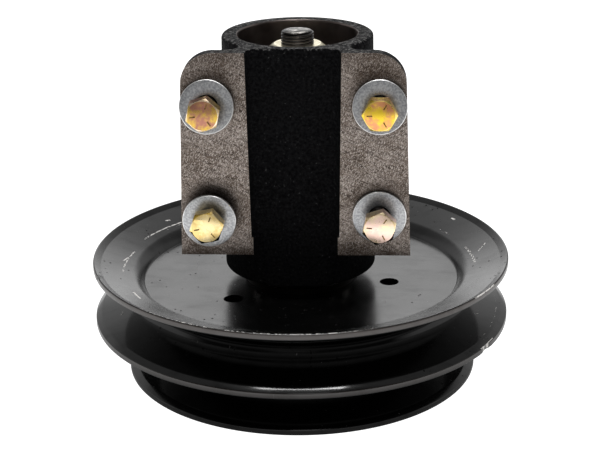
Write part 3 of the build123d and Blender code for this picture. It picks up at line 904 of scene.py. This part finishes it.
class JACKSHAFT_OT_inner_pieces(bpy.types.Operator):
    """Give the hub, bearings, key and other inner pieces their finishes"""

    bl_idname = "jackshaft.inner_pieces"
    bl_label = "Inner pieces"

    def execute(self, context):
        colours = context.scene.jackshaft_colours
        ground = turned_steel(colours, "Ground bearing steel", 0.16)
        turned = turned_steel(colours, "Turned hub steel", 0.36)
        rubber = seal_rubber(colours)
        dark_steel_in_shade = oiled_steel("Dark steel in painted shade", colours.oil)
        zinc = plated("Zinc on small steel", colours.zinc, linear("#8C8D90"), 0.34, 4 * MM, 0.006 * MM)
        gold = colours.yellow_zinc
        yellow = plated("Yellow zinc foot bolt", gold, linear("#C79B45"), 0.24, 4 * MM, 0.004 * MM)
        for name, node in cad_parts.items():
            if node.hide_render:
                continue
            if name.endswith("seal"):
                finish, slot = rubber, "seal_rubber"
            elif "bearing_" in name and not name.endswith("spacer"):
                finish, slot = ground, "bearing_steel"
            elif name == "foot_bolt":
                finish, slot = yellow, "yellow_zinc"
            # Painted shade: the clamp washer under the housing is dark oiled steel
            elif name == "clamp_washer":
                finish, slot = dark_steel_in_shade, "hub_steel"
            elif name in ("nut_washer", "lock_washer"):
                finish, slot = zinc, "plain_zinc"
            else:
                finish, slot = turned, "hub_steel"
            node.data.materials.clear()
            node.data.materials.append(finish)
        return {"FINISHED"}


class JACKSHAFT_OT_stage(bpy.types.Operator):
    """Set the camera, a white table and soft studio light"""

    bl_idname = "jackshaft.stage"
    bl_label = "Stage"

    def camera(self, context):
        """A long lens, a little above and to the right of the pads, that frames the whole part."""
        azimuth, elevation, roll = radians(3.273), radians(20.192), radians(-0.847)
        aim = Vector((-0.086 * MM, 0, 72.11 * MM))
        away = 758.73 * MM
        back = Vector((sin(azimuth) * cos(elevation), -cos(azimuth) * cos(elevation), sin(elevation)))
        data = bpy.data.cameras.new("Product camera")
        data.sensor_width = 36
        data.lens = 90.117
        camera = bpy.data.objects.new("Product camera", data)
        context.scene.collection.objects.link(camera)
        turn = (-back).to_track_quat("-Z", "Y").to_matrix().to_4x4() @ Matrix.Rotation(roll, 4, "Z")
        camera.matrix_world = Matrix.Translation(aim + back * away) @ turn
        context.scene.camera = camera

    def softbox(self, context, name, place, aim, size, power):
        """A soft light, as wide and high as given, that faces a point."""
        data = bpy.data.lights.new(name, "AREA")
        data.shape = "RECTANGLE"
        data.size, data.size_y = size
        data.energy = power
        lamp = bpy.data.objects.new(name, data)
        lamp.location = place
        lamp.rotation_mode = "QUATERNION"
        lamp.rotation_quaternion = (aim - place).to_track_quat("-Z", "Y")
        context.scene.collection.objects.link(lamp)

    def acrylic(self, colours):
        """White acrylic lit from below, with a painted shadow under the part, and dark towards the camera's
        feet.
        """
        looks = {"Base_Color": linear("#383838"), "Roughness": 0.7, "Emission_Color": colours.floor}
        material, tree, shader, place = new_material("White acrylic", **looks)
        far = polar(tree, place)[1]
        across, depth, _ = add_node(tree, "SeparateXYZ", place).node.outputs
        side = add_node(tree, "MapRange", across, -0.1, 0.3, 0.95, 0.75)
        near = add_node(tree, "MapRange", depth, -0.85, -0.38, 0.15, 1.0)
        front = add_node(tree, "MapRange", depth, -0.2, 0.1, 1.6, 1.0)
        behind = add_node(tree, "MapRange", depth, 0.1, 0.8, 1.0, side)
        # Painted shadow: the glow is dimmed near the shaft, where the part stands
        glow = add_node(tree, "MapRange", far, 0.1, 0.19, 0.2, 1.0)
        for share in (near, front, behind):
            glow = add_node(tree, "Math", glow, share, operation="MULTIPLY")
        seen = add_node(tree, "LightPath").node.outputs["Is Camera Ray"]
        white = add_node(tree, "Math", seen, BACKDROP, operation="MULTIPLY")
        add_node(tree, "Math", glow, white, operation="MAXIMUM", to=shader["Emission Strength"])
        return material

    def tent(self):
        """A white light tent, brighter near the table and open, so dark, on the camera's side."""
        world = bpy.data.worlds.new("Light tent")
        world.use_nodes = True
        tree = world.node_tree
        background = tree.nodes["Background"].inputs
        background["Color"].default_value = (1, 1, 1, 1)
        way = add_node(tree, "TexCoord").node.outputs["Generated"]
        x, y, z = add_node(tree, "SeparateXYZ", way).node.outputs
        cloth = add_node(tree, "MapRange", z, 0.42, 0.55, 1.55, 0.85)
        side = add_node(tree, "MapRange", x, -0.15, 0.15, 0.95, 0.72)
        low_strip = add_node(tree, "MapRange", z, 0.0, 0.22, side, 1.0)
        aside = add_node(tree, "Math", x, 0.05, operation="ADD")
        aside = add_node(tree, "Math", aside, operation="ABSOLUTE")
        sides = add_node(tree, "MapRange", aside, 0.12, 0.36, 1.15, 0.36)
        front = add_node(tree, "MapRange", z, 0.2, 0.45, 0.5, 0.05)
        open_side = add_node(tree, "MapRange", y, -0.32, -0.04, front, 1.0)
        for share in (low_strip, sides, open_side):
            cloth = add_node(tree, "Math", cloth, share, operation="MULTIPLY")
        seen = add_node(tree, "LightPath").node.outputs["Is Camera Ray"]
        white = add_node(tree, "Math", seen, BACKDROP, operation="MULTIPLY")
        add_node(tree, "Math", cloth, white, operation="MAXIMUM", to=background["Strength"])
        return world

    def execute(self, context):
        colours = context.scene.jackshaft_colours
        self.camera(context)
        work = bmesh.new()
        below = Matrix.Translation((0, 0, -0.2 * MM))
        bmesh.ops.create_grid(work, x_segments=1, y_segments=1, size=6.0, matrix=below)
        mesh = bpy.data.meshes.new("Table")
        work.to_mesh(mesh)
        work.free()
        table = bpy.data.objects.new("Table", mesh)
        context.scene.collection.objects.link(table)
        mesh.materials.append(self.acrylic(colours))
        context.scene.world = self.tent()
        middle = Vector((0, 0, 90 * MM))
        self.softbox(context, "Top softbox", Vector((0, -0.09, 1.35)), middle, (0.62, 0.3), 12)
        self.softbox(context, "Front softbox", Vector((0.1, -0.9, 0.95)), middle, (0.4, 0.3), 1.0)
        context.scene.view_settings.view_transform = "Standard"
        return {"FINISHED"}


class JACKSHAFT_PT_sidebar(bpy.types.Panel):
    """Buttons, sizes and colours of the jackshaft assembly"""

    bl_idname = "JACKSHAFT_PT_sidebar"
    bl_label = "Jackshaft Assembly"
    bl_space_type = "VIEW_3D"
    bl_region_type = "UI"
    bl_category = "Jackshaft"

    def draw(self, context):
        column = self.layout.column(align=True)
        for operator in OPERATORS:
            column.operator(operator.bl_idname)
        for group in (context.scene.jackshaft_sizes, context.scene.jackshaft_colours):
            column = self.layout.column(align=True)
            for name in group.__annotations__:
                column.prop(group, name)


OPERATORS = (
    JACKSHAFT_OT_pulleys,
    JACKSHAFT_OT_housing,
    JACKSHAFT_OT_shaft,
    JACKSHAFT_OT_bolts,
    JACKSHAFT_OT_inner_pieces,
    JACKSHAFT_OT_stage,
)
CLASSES = (JackshaftSizes, JackshaftColours, *OPERATORS, JACKSHAFT_PT_sidebar)


def register():
    """Add the classes and their settings to Blender."""
    for cls in CLASSES:
        bpy.utils.register_class(cls)
    bpy.types.Scene.jackshaft_sizes = PointerProperty(type=JackshaftSizes)
    bpy.types.Scene.jackshaft_colours = PointerProperty(type=JackshaftColours)


def unregister():
    """Take the classes and their settings out of Blender."""
    del bpy.types.Scene.jackshaft_colours
    del bpy.types.Scene.jackshaft_sizes
    for cls in reversed(CLASSES):
        bpy.utils.unregister_class(cls)


def main():
    """Make every group of pieces and the stage."""
    register()
    bpy.ops.jackshaft.pulleys()
    bpy.ops.jackshaft.housing()
    bpy.ops.jackshaft.shaft()
    bpy.ops.jackshaft.bolts()
    bpy.ops.jackshaft.inner_pieces()
    bpy.ops.jackshaft.stage()


if __name__ == "__main__":
    main()
